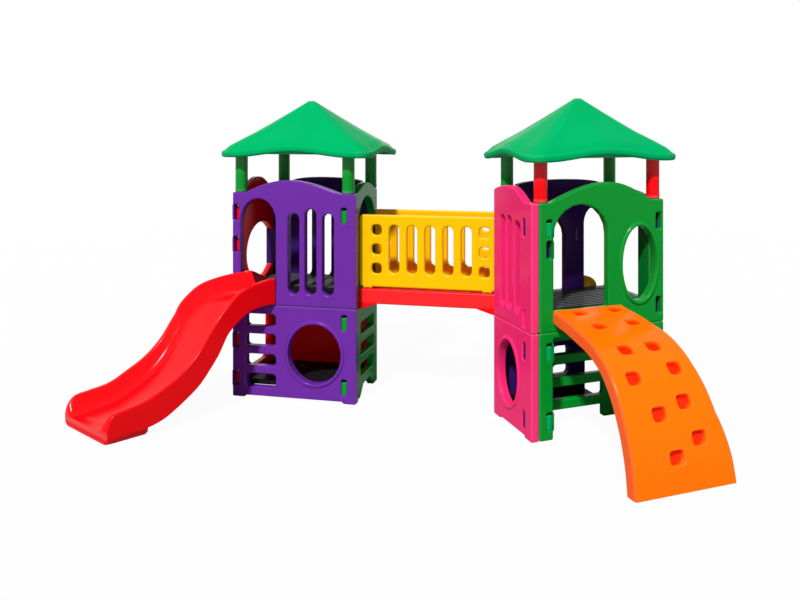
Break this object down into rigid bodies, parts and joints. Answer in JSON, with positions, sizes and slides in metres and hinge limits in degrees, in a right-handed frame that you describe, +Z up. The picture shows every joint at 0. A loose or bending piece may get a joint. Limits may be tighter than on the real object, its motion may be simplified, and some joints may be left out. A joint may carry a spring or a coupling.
{
  "type": "modular climbing frame",
  "caption": "Free-standing children's play set: roofed towers joined by a railed bridge, with a curved slide and a climbing ramp.",
  "frame": {"origin": "on the ground, under the middle of the whole set's bounding box", "axes": "+X to the right along the front of the slide's tower, +Y to the back, +Z up"},
  "size_m": [5.2798, 2.2676, 2.7125],
  "materials": {
    "roof_green": "satin",
    "green": "satin",
    "dark_green": "satin",
    "purple": "satin",
    "dark_purple": "satin",
    "pink": "satin",
    "red": "satin",
    "orange": "satin",
    "yellow": "satin",
    "charcoal": "satin"
  },
  "bodies": {
    "root": {"a_back_lower": "red", "a_back_upper": "dark_purple", "a_deck": "charcoal", "a_floor": "charcoal", "a_front_lower": "purple", "a_front_upper": "purple", "a_key_left_1": "red", "a_key_left_2": "red", "a_key_left_3": "red", "a_key_left_4": "red", "a_key_right_1": "green", "a_key_right_2": "green", "a_key_right_3": "green", "a_left_lower": "red", "a_left_upper": "red", "a_post_back_left": "green", "a_post_back_right": "green", "a_post_front_left": "green", "a_post_front_right": "green", "a_right_lower": "green", "a_right_upper": "green", "a_roof": "roof_green", "b_back_guard": "yellow", "b_back_lower": "dark_purple", "b_back_upper": "dark_purple", "b_deck": "charcoal", "b_floor": "charcoal", "b_front_lower": "green", "b_front_upper": "green", "b_inner_ladder": "green", "b_key_near_1": "roof_green", "b_key_near_2": "roof_green", "b_key_near_3": "roof_green", "b_left_lower": "pink", "b_left_upper": "pink", "b_post_back_left": "green", "b_post_back_right": "green", "b_post_front_left": "red", "b_post_front_right": "red", "b_right_lower": "dark_green", "b_right_upper": "dark_green", "b_roof": "roof_green", "bridge_deck": "red", "bridge_rail_back": "yellow", "bridge_rail_front": "yellow", "climbing_ramp": "orange", "slide": "red"}
  },
  "joints": []
}
